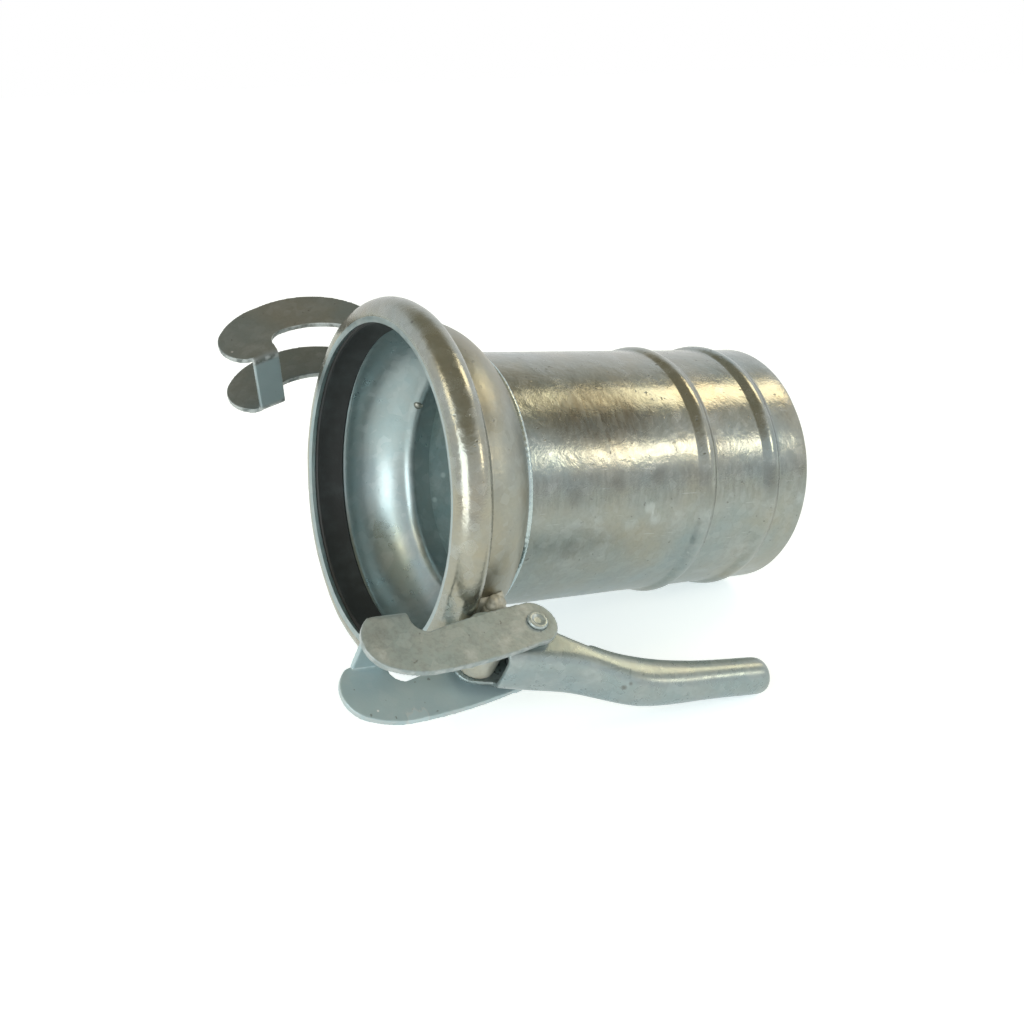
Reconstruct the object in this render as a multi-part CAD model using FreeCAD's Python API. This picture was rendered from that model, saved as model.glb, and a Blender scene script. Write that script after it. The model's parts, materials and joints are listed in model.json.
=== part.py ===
import FreeCAD, Part
import math
import os

# Female half of a lever-locked pipe coupling with a hose tail, in millimetres.
# It is modelled with the pipe axis along X, the mouth plane at x = 0 and the tail
# towards -X. Y points to the lever and Z is square to the plane of lever and hooks.
# The last section lays the finished pieces down as the coupling rests on a floor.

# Hose tail
tail_od = 152.0
tail_wall = 3.0
tail_front_gap = 1.0
tail_length = 203.5
tail_end_round = 2.0
tail_bead_from_end = (29.9, 79.4)
tail_bead_height = 2.4
tail_bead_half_width = 7.5
tail_bead_foot_r = 4.0

# Pressed cup with its rolled rim
cup_wall = 3.0
cup_depth = 57.5
rim_ring_r = 97.0
rim_bead_r = 11.0
rim_lip_deg = 19.0
cup_groove_drop = 1.5
cup_groove_fillet = 3.5
neck_depth = 72.0
neck_bend_r = 5.0
neck_clearance = 0.1
neck_weld_r = 2.2

# Rubber seal in the rim
seal_clearance = 0.2
seal_front_drop = 4.0
seal_rear_drop = 7.0
seal_front_depth = 4.4
seal_rear_depth = 20.6

# Pins, washers and running fits
lever_pin_d = 12.0
hook_pin_d = 10.0
running_clearance = 0.08
side_clearance = 0.15
lever_pin_head_r = 8.0
lever_pin_head_h = 3.0
rivet_head_r = 5.7
rivet_head_h = 1.9
rivet_dish_r = 3.7
rivet_dish_depth = 0.8
washer_r = 10.5

# Lever, pressed from sheet: a fork in front that closes into a round grip
fork_width = 30.0
lever_wall = 3.0
fork_corner_r = 8.0
pivot_behind_rim = 8.9
ear_r = 13.3
ear_rim_gap = 0.4
hook_ear_r = 13.4
hook_pin_back = 23.1
hook_pin_rise = 3.2
web_front_back = 4.7
leg_end_back = 54.6
leg_end_rise = 16.6
seam_from = 34.0
seam_open_length = 35.0
grip_d = 21.3
grip_end_round = 4.5
grip_vent_r = 4.0

# Hooks: two sickle plates and the bridge between them, folded from one plate
hook_plate_t = 3.5
hook_inner_width = 38.0
hook_fold_r = 4.5
hook_end_r = 12.2
closing_bridge_length = 18.7
closing_reach = 68.7
closing_drop = 17.9
side_reach = 63.2
side_drop = -5.6
side_bridge_length = 16.5

# Lugs that carry the lever and the side hook
lug_web = 16.0
lug_boss_r = 11.0
lug_side_gap = 0.3
lug_foot_length = 7.0
lug_weld_leg = 4.0
lug_weld_length = 12.0
side_foot_front = 8.0
side_foot_length = 16.0
side_eye_wall = 3.4
side_eye_length = 20.0
side_eye_slack = 0.3

# The side hook hangs askew in its wide eye: place of its pin, then its three turns
side_pin_x = -37.7
side_pin_rise = 10.9
side_pin_z = 11.7
side_roll_deg = 4.7
side_lean_deg = 17.8
side_swing_deg = 9.3

tail_r = tail_od / 2
tail_bore_r = tail_r - tail_wall
tail_front_x = -cup_depth - tail_front_gap
tail_end_x = tail_front_x - tail_length
rim_x = -rim_bead_r * math.cos(math.radians(rim_lip_deg))
rim_outer_r = rim_ring_r + rim_bead_r
cup_groove_r = rim_ring_r - cup_groove_drop
seal_front_r = rim_ring_r - seal_front_drop
seal_rear_r = rim_ring_r - seal_rear_drop
side_pin_r = rim_ring_r + side_pin_rise
lever_pin_r = lever_pin_d / 2
hook_pin_r = hook_pin_d / 2
plate_in = hook_inner_width / 2
plate_out = plate_in + hook_plate_t
ear_out = fork_width / 2
ear_in = ear_out - lever_wall

# The ears just clear the rim, which falls away to each side of the middle plane
rim_drop = rim_outer_r - math.sqrt(rim_outer_r ** 2 - ear_in ** 2)
ear_reach = rim_bead_r + ear_r + ear_rim_gap
pivot_x = rim_x - pivot_behind_rim
pivot_y = rim_ring_r - rim_drop + math.sqrt(ear_reach ** 2 - pivot_behind_rim ** 2)


def vec(x, y, z=0.0):
    return FreeCAD.Vector(x, y, z)


pivot = vec(pivot_x, pivot_y)
hook_pivot = vec(pivot_x - hook_pin_back, pivot_y + hook_pin_rise)


def polar(centre, radius, degrees):
    a = math.radians(degrees)
    return vec(centre.x + radius * math.cos(a), centre.y + radius * math.sin(a))


def line(a, b):
    return Part.LineSegment(a, b).toShape()


def arc(a, via, b):
    return Part.Arc(a, via, b).toShape()


def turn_arc(centre, radius, start, end):
    middle = (start + end) / 2
    return arc(polar(centre, radius, start), polar(centre, radius, middle), polar(centre, radius, end))


def path(points):
    return [line(a, b) for a, b in zip(points[:-1], points[1:])]


def first(edge):
    return edge.valueAt(edge.FirstParameter)


def last(edge):
    return edge.valueAt(edge.LastParameter)


def face(edges):
    return Part.Face(Part.Wire(edges))


def revolved(edges):
    return face(edges).revolve(vec(0, 0), vec(1, 0), 360)


def plate(edges, z_low, z_high):
    flat = face(edges)
    flat.translate(vec(0, 0, z_low))
    return flat.extrude(vec(0, 0, z_high - z_low))


def cylinder(centre, radius, z_low, z_high):
    return Part.makeCylinder(radius, z_high - z_low, vec(centre.x, centre.y, z_low))


def clean(shape):
    """The one solid of a boolean result, with split faces joined again."""
    return shape.removeSplitter().Solids[0]


# Cup: one sheet from the rim's lip, round the bead, over the groove to the shoulder,
# and through a last bend into the neck that plugs into the tail

rim_centre = vec(rim_x, rim_ring_r)
groove_y = cup_groove_r + cup_groove_fillet
groove_reach = rim_bead_r + cup_groove_fillet
groove_centre = vec(rim_x - math.sqrt(groove_reach ** 2 - (groove_y - rim_ring_r) ** 2), groove_y)
groove_deg = math.degrees(math.atan2(groove_y - rim_ring_r, groove_centre.x - rim_x))
shoulder_run = cup_depth + groove_centre.x
shoulder_drop = cup_groove_r - tail_r
shoulder_r = (shoulder_run ** 2 + shoulder_drop ** 2) / (2 * shoulder_drop)
shoulder_centre = vec(groove_centre.x, cup_groove_r - shoulder_r)
neck_r = tail_bore_r - neck_clearance
neck_bend_y = neck_r + neck_bend_r
neck_bend_run = math.sqrt((shoulder_r + neck_bend_r) ** 2 - (neck_bend_y - shoulder_centre.y) ** 2)
neck_bend_centre = vec(shoulder_centre.x - neck_bend_run, neck_bend_y)
neck_deg = 90 + math.degrees(math.atan2(neck_bend_run, neck_bend_y - shoulder_centre.y))


def cup_skin(inset):
    """The cup's outer line from lip to neck, moved into the wall by an inset."""
    skin = [
        turn_arc(rim_centre, rim_bead_r - inset, -rim_lip_deg, groove_deg),
        turn_arc(groove_centre, cup_groove_fillet + inset, groove_deg - 180, -90),
        turn_arc(shoulder_centre, shoulder_r - inset, 90, neck_deg),
        turn_arc(neck_bend_centre, neck_bend_r + inset, neck_deg - 180, -90),
    ]
    return skin + [line(last(skin[-1]), vec(-neck_depth, neck_r - inset))]


def pipe_rod():
    return Part.makeCylinder(tail_r, tail_length, vec(tail_front_x, 0), vec(-1, 0))


def make_cup():
    outer = cup_skin(0)
    inner = cup_skin(cup_wall)
    neck_end = line(last(outer[-1]), last(inner[-1]))
    lip_end = line(first(inner[0]), first(outer[0]))
    return revolved(outer + [neck_end] + inner[::-1] + [lip_end])


def make_cup_block():
    """Cup and tail filled to the axis, which trims the foot of what is welded on."""
    outer = cup_skin(0)
    start = first(outer[0])
    end = last(outer[-1])
    under = path([end, vec(end.x, 0), vec(start.x, 0), start])
    return revolved(outer + under).fuse(pipe_rod())


# Hose tail with two swaged beads

def tail_skin(inset):
    """The tail's outer line from front to end, moved into the wall by an inset."""
    radii = (tail_bead_half_width ** 2 + tail_bead_height ** 2) / (2 * tail_bead_height)
    crown_r = radii - tail_bead_foot_r
    lean = math.degrees(math.asin(tail_bead_half_width / radii))
    foot_y = tail_r + tail_bead_foot_r
    foot_r = tail_bead_foot_r + inset
    edges = []
    at = vec(tail_front_x, tail_r - inset)
    for from_end in sorted(tail_bead_from_end, reverse=True):
        x = tail_end_x + from_end
        front = vec(x + tail_bead_half_width, foot_y)
        back = vec(x - tail_bead_half_width, foot_y)
        crown = vec(x, tail_r + tail_bead_height - crown_r)
        edges.append(line(at, vec(front.x, at.y)))
        edges.append(turn_arc(front, foot_r, -90, -90 - lean))
        edges.append(turn_arc(crown, crown_r - inset, 90 - lean, 90 + lean))
        edges.append(turn_arc(back, foot_r, -90 + lean, -90))
        at = vec(back.x, at.y)
    return edges, at


def make_tail(cup):
    """The tail's front end is trimmed where it seats on the bend of the cup's neck."""
    outer, outer_at = tail_skin(0)
    inner, inner_at = tail_skin(tail_wall)
    corner = vec(tail_end_x + tail_end_round, tail_r - tail_end_round)
    outer.append(line(outer_at, vec(corner.x, tail_r)))
    outer.append(turn_arc(corner, tail_end_round, 90, 180))
    end_inner = vec(tail_end_x, tail_bore_r)
    back = path([last(outer[-1]), end_inner, inner_at])
    front = line(first(inner[0]), first(outer[0]))
    return clean(revolved(outer + back + inner[::-1] + [front]).cut(cup))


def make_neck_weld(cup, tail):
    """The seam round the neck: a round bead in the corner of cup and tail."""
    centre = vec(-cup_depth, tail_r + 0.2 * neck_weld_r)
    bead = revolved([turn_arc(centre, neck_weld_r, 0, 180), turn_arc(centre, neck_weld_r, 180, 360)])
    return clean(bead.cut(cup).cut(tail))


def make_seal():
    """Ring that fills the inside of the rolled rim and stands proud of the bore."""
    r = rim_bead_r - cup_wall - seal_clearance
    top = [turn_arc(rim_centre, r, -12, 90), turn_arc(rim_centre, r, 90, 186)]
    front_x = -seal_front_depth
    rear_x = -seal_rear_depth
    inside = [
        last(top[-1]),
        vec(rear_x - 0.6, seal_rear_r + 2.4),
        vec(rear_x, seal_rear_r + 0.7),
        vec(rear_x + 1.0, seal_rear_r),
        vec(front_x - 1.2, seal_front_r),
        vec(front_x, seal_front_r + 1.0),
        first(top[0]),
    ]
    return revolved(top + path(inside))


# Pins and washers

def pin_with_heads(centre, shank_r, head_from, head_r, head_h, dished):
    """A shank along Z with a peened head at each end, its rim left standing if dished."""
    round_r = head_h * 0.6
    top = head_from + head_h
    crown = [vec(0, 0), vec(0, top)]
    if dished:
        crown = [vec(0, 0), vec(0, top - rivet_dish_depth)]
        crown.append(vec(rivet_dish_r * 0.6, top - rivet_dish_depth))
        crown.append(vec(rivet_dish_r, top))
    edges = path(crown + [vec(head_r - round_r, top)])
    edges.append(turn_arc(vec(head_r - round_r, top - round_r), round_r, 90, 0))
    under = [vec(head_r, top - round_r), vec(head_r, head_from), vec(shank_r, head_from), vec(shank_r, 0)]
    edges += path(under + [vec(0, 0)])
    upper = face(edges).revolve(vec(0, 0), vec(0, 1), 360)
    upper.rotate(vec(0, 0), vec(1, 0), 90)
    pin = clean(upper.fuse(upper.mirror(vec(0, 0), vec(0, 0, 1))))
    pin.translate(centre)
    return pin


def hook_rivet(centre):
    head_from = plate_out + side_clearance
    return pin_with_heads(centre, hook_pin_r, head_from, rivet_head_r, rivet_head_h, True)


def make_lever_pin():
    head_from = ear_out + side_clearance
    return pin_with_heads(pivot, lever_pin_r, head_from, lever_pin_head_r, lever_pin_head_h, False)


def make_hook_pin():
    return hook_rivet(hook_pivot)


def make_washer(side):
    """Spacer on the hook pin, between a lever ear and a hook plate."""
    low, high = sorted((side * (ear_out + side_clearance), side * (plate_in - side_clearance)))
    return cylinder(hook_pivot, washer_r, low, high).cut(cylinder(hook_pivot, hook_pin_r, low, high))


# Lever

def lever_stations():
    """Rows of x, outer edge, depth, half width and corner radius, from fork to grip.

    Places are measured from the pivot pin. The depth runs from the outer edge,
    which is the fork's web, back towards the pipe.
    """
    half = fork_width / 2
    grip = grip_d / 2
    return [
        (20.0, 12.6, 36.6, half, fork_corner_r),
        (-4.7, 18.9, 38.9, half, fork_corner_r),
        (-26.0, 24.4, 39.9, half, fork_corner_r),
        (-42.0, 28.4, 28.0, half, fork_corner_r),
        (-53.0, 33.2, 22.8, half - 0.6, fork_corner_r),
        (-66.0, 40.8, 23.8, half - 2.0, fork_corner_r + 0.8),
        (-79.0, 47.0, 26.0, half - 3.0, fork_corner_r + 2.0),
        (-96.0, 50.2, 25.2, grip + 0.6, grip + 0.6),
        (-116.0, 51.0, grip_d + 1.0, grip + 0.1, grip),
        (-137.0, 52.3, grip_d, grip, grip),
        (-158.0, 54.0, grip_d, grip, grip),
    ]


def rounded_section(x, y_high, depth, half_width, corner):
    """A closed wire across the lever: a rounded rectangle in the plane x."""
    corner = min(corner, half_width - 0.05, depth / 2 - 0.05)
    top = y_high - corner
    bottom = y_high - depth + corner
    side = half_width - corner
    edges = []
    bends = []
    for k, (y, z) in enumerate([(top, side), (top, -side), (bottom, -side), (bottom, side)]):
        angles = [math.radians(90 * k + step) for step in (0, 45, 90)]
        bends.append([vec(x, y + corner * math.sin(a), z + corner * math.cos(a)) for a in angles])
    for bend, following in zip(bends, bends[1:] + bends[:1]):
        edges.append(arc(*bend))
        edges.append(line(bend[2], following[0]))
    return Part.Wire(edges)


def smoothed(rows, steps):
    """More rows between the given ones, along smooth curves through them."""
    finer = [rows[0]]
    for k in range(len(rows) - 1):
        before, a, b, after = rows[max(k - 1, 0)], rows[k], rows[k + 1], rows[min(k + 2, len(rows) - 1)]
        for step in range(1, steps + 1):
            t = step / steps
            weights = (-t + 2 * t * t - t ** 3, 2 - 5 * t * t + 3 * t ** 3,
                       t + 4 * t * t - 3 * t ** 3, t ** 3 - t * t)
            columns = zip(before, a, b, after)
            finer.append(tuple(sum(w * v for w, v in zip(weights, column)) / 2 for column in columns))
    return finer


def lever_loft(inset, overrun):
    """The lever's form, moved in by an inset and longer by an overrun at each end."""
    rows = smoothed(lever_stations(), 2)
    wires = []
    for x, outer, depth, half_width, corner in rows:
        if x == rows[0][0]:
            x += overrun
        if x == rows[-1][0]:
            x -= overrun
        rounding = max(corner - inset, 1.0)
        row = (pivot_x + x, pivot_y + outer - inset, depth - 2 * inset, half_width - inset, rounding)
        wires.append(rounded_section(*row))
    return Part.makeLoft(wires, True, True)


def lever_end_cap():
    """The grip's rounded end, in rings that follow a quarter circle."""
    x, outer, depth, half_width, corner = lever_stations()[-1]
    wires = []
    for degrees in (0, 22.5, 45, 67.5, 90):
        a = math.radians(degrees)
        shrink = grip_end_round * (1 - math.cos(a))
        ring_x = pivot_x + x - grip_end_round * math.sin(a)
        row = (ring_x, pivot_y + outer - shrink, depth - 2 * shrink, half_width - shrink, corner - shrink)
        wires.append(rounded_section(*row))
    return Part.makeLoft(wires, True, True)


def lever_vent():
    """The hole in the grip's end that lets the zinc run out."""
    x, outer, depth = lever_stations()[-1][:3]
    start = pivot + vec(x - 2 * grip_end_round, outer - depth / 2)
    return Part.makeCylinder(grip_vent_r, 4 * grip_end_round, start, vec(1, 0))


def lever_side_outline():
    """What the press leaves of the lever seen from the side: ears, free edges, grip."""
    far = 60.0
    front = -web_front_back
    ear_top = polar(pivot, ear_r, 90)
    ear_bottom = polar(pivot, ear_r, -90)
    hook_bottom = polar(hook_pivot, hook_ear_r, -90)
    hook_back = polar(hook_pivot, hook_ear_r, 175)
    leg_end = pivot + vec(-leg_end_back, leg_end_rise)
    tail_x = lever_stations()[-1][0] - grip_end_round - 1
    edges = path([pivot + vec(front, far), pivot + vec(front, ear_r + 0.7), ear_top])
    edges.append(turn_arc(pivot, ear_r, 90, -90))
    edges.append(line(ear_bottom, hook_bottom))
    edges.append(turn_arc(hook_pivot, hook_ear_r, -90, -185))
    edges.append(arc(hook_back, (hook_back + leg_end) * 0.5 + vec(-0.4, 0.6), leg_end))
    corners = [leg_end, vec(leg_end.x, pivot_y - far), pivot + vec(tail_x, -far), pivot + vec(tail_x, far)]
    return edges + path(corners + [pivot + vec(front, far)])


def seam_opening():
    """The fork's open underside narrows to a point where the sheet's edges meet."""
    outer, depth = lever_stations()[6][1:3]
    wide_x = pivot_x - seam_from
    low = pivot_y - fork_width
    high = pivot_y + outer - depth + lever_wall
    tip = vec(wide_x - seam_open_length, low, 0)
    corners = [vec(wide_x, low, ear_in), vec(wide_x, low, -ear_in), tip, vec(wide_x, low, ear_in)]
    return face(path(corners)).extrude(vec(0, high - low))


def make_lever():
    form = lever_loft(0, 0).fuse(lever_end_cap())
    shell = form.cut(lever_loft(lever_wall, lever_wall / 2)).cut(lever_vent())
    lever = shell.common(plate(lever_side_outline(), -fork_width, fork_width)).cut(seam_opening())
    lever = lever.cut(cylinder(pivot, lever_pin_r + running_clearance, -fork_width, fork_width))
    return clean(lever.cut(cylinder(hook_pivot, hook_pin_r, -fork_width, fork_width)))


# Hooks

def sickle(under, front, over):
    """One sickle plate about its pin, from the rear end under it and round its tip.

    The points in front run from the bridge's fold to the brow, and those over it
    from the brow back to the rear end.
    """
    heel, belly, throat, notch, beak = under
    bridge_back, bridge_front, chin, jaw, brow = front
    forehead, crest, back, nape, rear = over
    return [
        arc(heel, belly, throat),
        arc(throat, notch, beak),
        line(beak, bridge_back),
        line(bridge_back, bridge_front),
        line(bridge_front, chin),
        arc(chin, jaw, brow),
        arc(brow, forehead, crest),
        arc(crest, back, nape),
        arc(nape, rear, heel),
    ]


def closing_outline():
    """The lever's hook: a long flat sickle."""
    bridge_back = vec(closing_reach, hook_fold_r - closing_drop)
    bridge_front = bridge_back + vec(closing_bridge_length, 0)
    under = [
        vec(0, -hook_end_r - 0.8),
        vec(32.4, -8.9),
        vec(closing_reach - 7.7, -3.0),
        vec(closing_reach - 2.1, -6.2),
        vec(closing_reach, -12.0),
    ]
    front = [
        bridge_back,
        bridge_front,
        bridge_front + vec(3.4, -2.2),
        bridge_front + vec(10.7, 12.9),
        bridge_front + vec(3.0, 27.4),
    ]
    over = [
        vec(closing_reach + 12.8, 18.0),
        vec(closing_reach - 2.7, 20.6),
        vec(34.4, 18.3),
        vec(2.4, hook_end_r + 0.5),
        vec(-hook_end_r + 0.6, 0.0),
    ]
    return sickle(under, front, over)


def side_outline():
    """The side hook: as long, and more bent, so that it passes over the rim."""
    pin = vec(0, 0)
    bridge_back = vec(side_reach, hook_fold_r - side_drop)
    bridge_front = bridge_back + vec(side_bridge_length, 0)
    under = [
        polar(pin, hook_end_r, -35),
        vec(27.6, 13.8),
        vec(side_reach - 7.8, 22.0),
        vec(side_reach - 2.4, 19.4),
        vec(side_reach, 14.1),
    ]
    front = [
        bridge_back,
        bridge_front,
        bridge_front + vec(3.4, -2.2),
        bridge_front + vec(13.4, 12.7),
        bridge_front + vec(6.2, 29.2),
    ]
    over = [
        vec(side_reach + 11.3, 46.6),
        vec(side_reach - 6.0, 49.8),
        vec(20.5, 40.3),
        vec(1.0, 17.0),
        polar(pin, hook_end_r - 0.9, 183),
    ]
    return sickle(under, front, over)


def bridge_bend(reach, length, drop):
    """The folded tip: legs, rounded folds and the bridge that joins the two plates."""
    fold_y = hook_fold_r - drop
    inner_r = hook_fold_r - hook_plate_t

    def fold(side, radius):
        centre_z = plate_out - hook_fold_r
        points = []
        for degrees in (0, 45, 90):
            a = math.radians(degrees)
            y, z = fold_y - radius * math.sin(a), centre_z + radius * math.cos(a)
            points.append(vec(reach, y, side * z))
        return points

    upper_out, lower_out = fold(1, hook_fold_r), fold(-1, hook_fold_r)
    upper_in, lower_in = fold(1, inner_r), fold(-1, inner_r)
    edges = [
        arc(*upper_out),
        line(upper_out[2], lower_out[2]),
        arc(*lower_out[::-1]),
        line(lower_out[0], lower_in[0]),
        arc(*lower_in),
        line(lower_in[2], upper_in[2]),
        arc(*upper_in[::-1]),
        line(upper_in[0], upper_out[0]),
    ]
    return face(edges).extrude(vec(length, 0))


def make_hook(outline, bridge, bore_r):
    """A hook about its pin: X forward, Y away from the pipe, Z along the pin."""
    upper = plate(outline, plate_in, plate_out)
    lower = plate(outline, -plate_out, -plate_in)
    hook = upper.fuse([lower, bridge])
    return clean(hook.cut(cylinder(vec(0, 0), bore_r, -2 * plate_out, 2 * plate_out)))


def make_closing_hook():
    bridge = bridge_bend(closing_reach, closing_bridge_length, closing_drop)
    hook = make_hook(closing_outline(), bridge, hook_pin_r + running_clearance)
    hook.translate(hook_pivot)
    return hook


def askew_rotation():
    turn = vec(side_roll_deg, side_lean_deg, side_swing_deg)
    return FreeCAD.Rotation(turn, turn.Length)


def across():
    """Half a turn about the pipe axis, to the side away from the lever."""
    return FreeCAD.Placement(vec(0, 0), FreeCAD.Rotation(vec(1, 0), 180))


def side_hook_placement():
    """Where the side hook hangs: across the pipe from the lever, askew in its eye."""
    turned = askew_rotation().multiply(across().Rotation)
    return FreeCAD.Placement(vec(side_pin_x, -side_pin_r, side_pin_z), turned)


def placed(shape, placement):
    copy = shape.copy()
    copy.Placement = placement.multiply(copy.Placement)
    return copy


def make_side_hook():
    bridge = bridge_bend(side_reach, side_bridge_length, side_drop)
    return placed(make_hook(side_outline(), bridge, hook_pin_r), side_hook_placement())


def make_side_pin():
    return placed(hook_rivet(vec(0, 0)), side_hook_placement())


# Lugs and their welds

def surface_point(x, z):
    """The point on the cup's shoulder, on the lever's side, at x along and z across."""
    r = shoulder_centre.y + math.sqrt(shoulder_r ** 2 - (x - shoulder_centre.x) ** 2)
    return vec(x, math.sqrt(r ** 2 - z ** 2), z)


def make_lug_weld(lug, block, front_x, rear_x, z_low, z_high):
    """A weld bead laid round the foot of a lug."""
    radius = 0.8 * lug_weld_leg
    corners = [surface_point(x, z) for x, z in
               [(front_x, z_low), (front_x, z_high), (rear_x, z_high), (rear_x, z_low)]]
    rods = []
    for a, b in zip(corners, corners[1:] + corners[:1]):
        rods.append(Part.makeCylinder(radius, (b - a).Length, a, b - a))
        rods.append(Part.makeSphere(radius, a))
    return clean(rods[0].fuse(rods[1:]).cut(block).cut(lug))


def lever_lug_front():
    return pivot_x - 0.61 * lug_boss_r


def make_lever_lug(block):
    """Lug with a boss for the pivot pin and a seat that stops the closing hook's pin."""
    seat_r = hook_pin_r + lug_side_gap
    boss_half = ear_in - lug_side_gap
    front_x = lever_lug_front()
    front_deg = -math.degrees(math.acos((front_x - pivot_x) / lug_boss_r))
    front_foot = vec(front_x, tail_r)
    rear_foot = vec(front_x - lug_foot_length, tail_r)
    seat_end = polar(hook_pivot, seat_r, -125)
    edges = [line(front_foot, polar(pivot, lug_boss_r, front_deg))]
    edges.append(turn_arc(pivot, lug_boss_r, front_deg, 165))
    edges.append(line(polar(pivot, lug_boss_r, 165), polar(hook_pivot, seat_r, -20)))
    edges.append(turn_arc(hook_pivot, seat_r, -20, -125))
    edges += path([seat_end, rear_foot, front_foot])
    web = plate(edges, -lug_web / 2, lug_web / 2).cut(block)
    lug = web.fuse(cylinder(pivot, lug_boss_r, -boss_half, boss_half))
    return clean(lug.cut(cylinder(pivot, lever_pin_r, -boss_half, boss_half)))


def make_lever_lug_weld(lug, block):
    front_x = lever_lug_front()
    rear_x = front_x - lug_weld_length
    return make_lug_weld(lug, block, front_x, rear_x, -lug_web / 2, lug_web / 2)


side_eye = vec(side_pin_x, side_pin_r)
side_pin_tilt = askew_rotation().multVec(vec(0, 0, 1)).getAngle(vec(0, 0, 1))
eye_half = side_eye_length / 2
side_eye_bore_r = hook_pin_r / math.cos(side_pin_tilt) + eye_half * math.tan(side_pin_tilt) + side_eye_slack
side_eye_r = side_eye_bore_r + side_eye_wall
side_foot_front_x = side_pin_x + side_foot_front
side_foot_rear_x = side_foot_front_x - side_foot_length


def make_side_lug(block):
    """Lug with a wide eye that the side hook's pin hangs in, made on the lever's side."""
    top_y = side_pin_r - 0.5 * side_eye_r
    shoulder = 0.8 * side_eye_r
    corners = [
        vec(side_foot_front_x, tail_r),
        vec(side_pin_x + shoulder, top_y),
        vec(side_pin_x - shoulder, top_y),
        vec(side_foot_rear_x, tail_r),
        vec(side_foot_front_x, tail_r),
    ]
    z = -side_pin_z
    web = plate(path(corners), z - lug_web / 2, z + lug_web / 2).cut(block)
    lug = web.fuse(cylinder(side_eye, side_eye_r, z - eye_half, z + eye_half))
    return clean(lug.cut(cylinder(side_eye, side_eye_bore_r, z - eye_half, z + eye_half)))


def make_side_lug_weld(lug, block):
    z = -side_pin_z
    return make_lug_weld(lug, block, side_foot_front_x, side_foot_rear_x, z - lug_web / 2, z + lug_web / 2)


# At rest: the coupling lies on the rim, on the tail's end and on the lever's grip

def resting_rotation():
    """Turns the model so that +Z is up and the floor touches those three."""
    corner_x = tail_end_x + tail_end_round
    run = rim_x - corner_x
    rise = rim_ring_r - (tail_r - tail_end_round)
    pitch = math.atan2(rise, run) + math.asin((rim_bead_r - tail_end_round) / math.hypot(run, rise))
    floor = rim_bead_r + rim_ring_r * math.cos(pitch) - rim_x * math.sin(pitch)

    last_row, row_before = lever_stations()[-1], lever_stations()[-2]
    end = pivot + vec(last_row[0], last_row[1] - last_row[2] / 2)
    before = pivot + vec(row_before[0], row_before[1] - row_before[2] / 2)
    along = (end - before).normalize()
    ring_r = grip_d / 2 - grip_end_round

    def up(roll):
        return vec(math.sin(pitch), -math.cos(pitch) * math.sin(roll), math.cos(pitch) * math.cos(roll))

    def grip_height(roll):
        lean = up(roll).dot(along)
        return floor + up(roll).dot(end) - ring_r * math.sqrt(1 - lean ** 2) - grip_end_round

    low, high = 0.0, math.pi / 2
    for _ in range(50):
        middle = (low + high) / 2
        if grip_height(middle) > 0:
            low = middle
        else:
            high = middle
    up_axis = up(low)
    x_axis = vec(1, 0) - up_axis * up_axis.x
    x_axis.normalize()
    return FreeCAD.Rotation(x_axis, up_axis.cross(x_axis), up_axis, "ZXY").inverted()


def resting_placement(shapes):
    """The turn above, then a shift that puts the box's bottom centre at the origin."""
    turned = FreeCAD.Placement(vec(0, 0), resting_rotation())
    points = [p for shape in shapes for p in placed(shape, turned).tessellate(0.1)[0]]
    low = vec(min(p.x for p in points), min(p.y for p in points), min(p.z for p in points))
    high = vec(max(p.x for p in points), max(p.y for p in points), max(p.z for p in points))
    shift = vec(-(low.x + high.x) / 2, -(low.y + high.y) / 2, -low.z)
    return FreeCAD.Placement(shift, turned.Rotation)


def make_all():
    block = make_cup_block()
    cup = make_cup()
    tail = make_tail(cup)
    lever_lug = make_lever_lug(block)
    side_lug = make_side_lug(block)
    return {
        "socket_cup": cup,
        "hose_tail": tail,
        "neck_weld": make_neck_weld(cup, tail),
        "seal_ring": make_seal(),
        "lever_lug": lever_lug,
        "lever_lug_weld": make_lever_lug_weld(lever_lug, block),
        "lever_pin": make_lever_pin(),
        "lever": make_lever(),
        "hook_pin": make_hook_pin(),
        "hook_washer_upper": make_washer(1),
        "hook_washer_lower": make_washer(-1),
        "closing_hook": make_closing_hook(),
        "side_lug": placed(side_lug, across()),
        "side_lug_weld": placed(make_side_lug_weld(side_lug, block), across()),
        "side_pin": make_side_pin(),
        "side_hook": make_side_hook(),
    }


pieces = make_all()
rest = resting_placement(pieces.values())
os.makedirs("parts", exist_ok=True)
for name, shape in pieces.items():
    placed(shape, rest).exportStep("parts/" + name + ".step")
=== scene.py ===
import json
from math import asin, atan2, cos, degrees, pi, radians, sin

import bmesh
import bpy
from mathutils import Euler, Matrix, Vector, noise


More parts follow.
